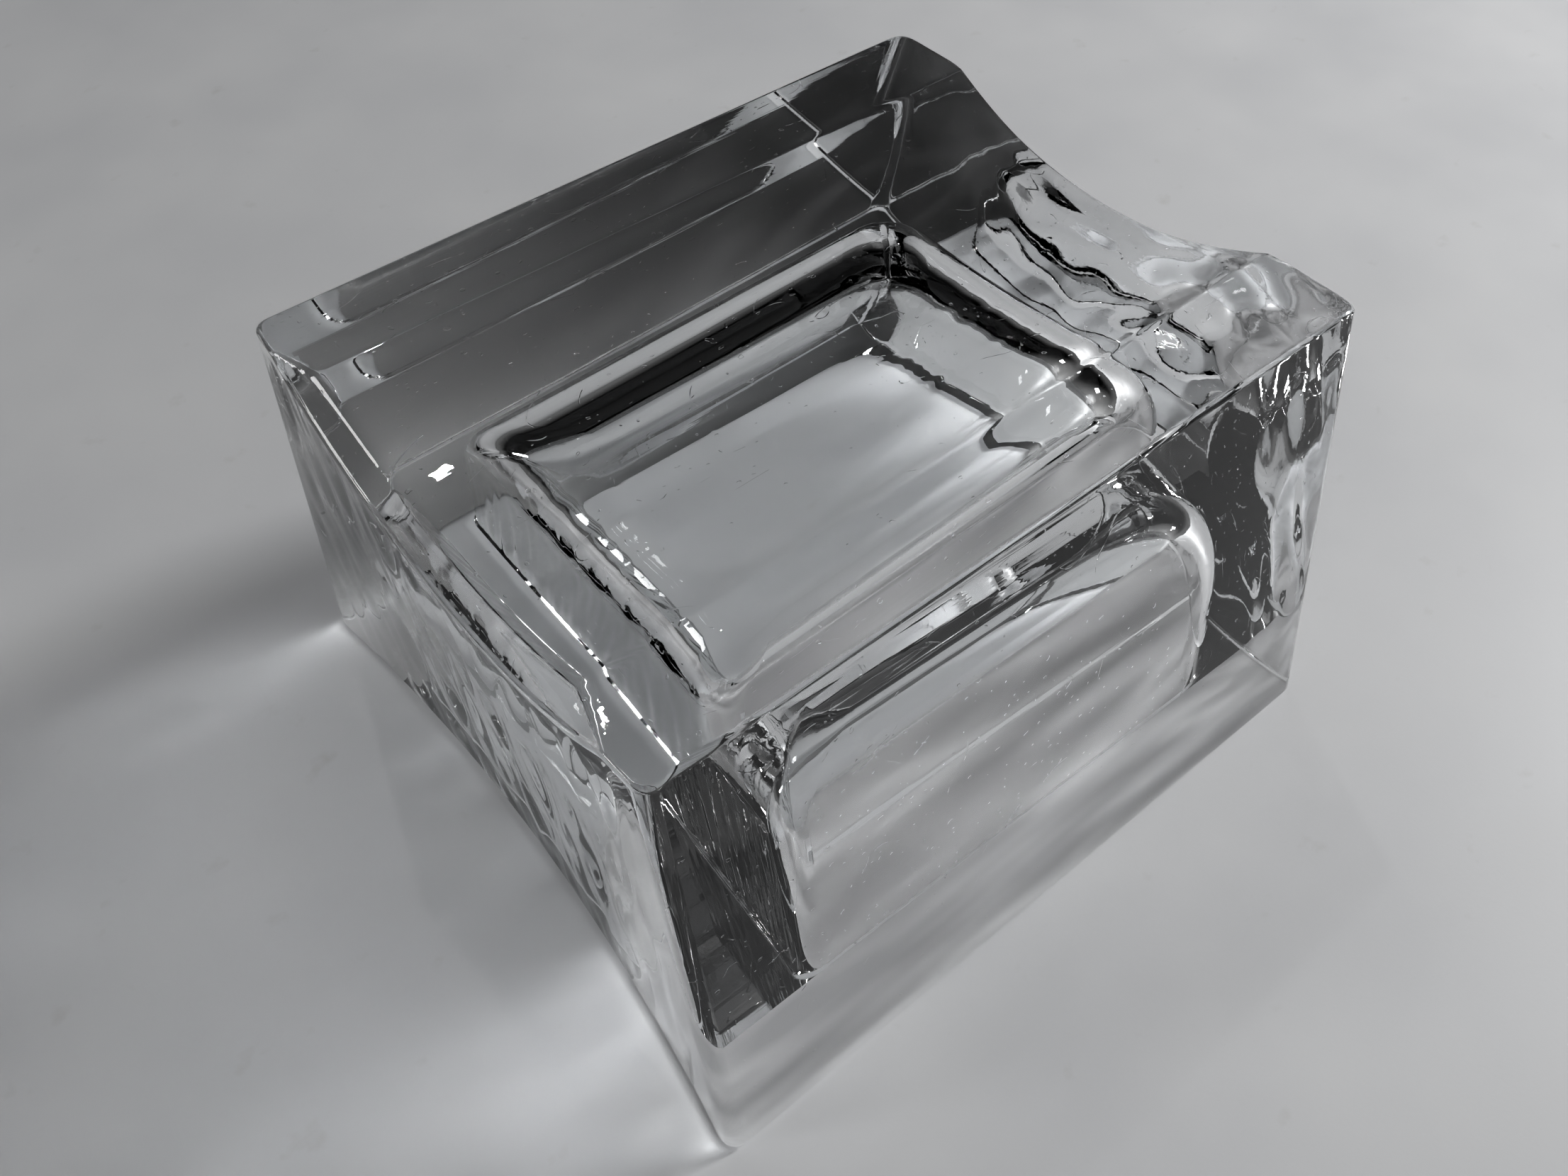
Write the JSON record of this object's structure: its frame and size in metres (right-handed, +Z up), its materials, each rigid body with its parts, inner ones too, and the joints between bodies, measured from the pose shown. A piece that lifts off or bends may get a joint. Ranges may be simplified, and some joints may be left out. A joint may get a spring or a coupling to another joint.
{
  "type": "clear display block",
  "caption": "Clear cast display block with leaning sides, a shallow trough along the top between two flat lands, and a rounded hollow open at the base.",
  "frame": {"origin": "middle of the base, on the surface that the block rests on", "axes": "+Z up, +X along the trough, -Y towards the front long side"},
  "size_m": [0.0798, 0.0772, 0.05],
  "materials": {
    "clear_acrylic": "clear, polished, with fine wear marks"
  },
  "bodies": {
    "root": {"display_block": "clear_acrylic"}
  },
  "joints": []
}
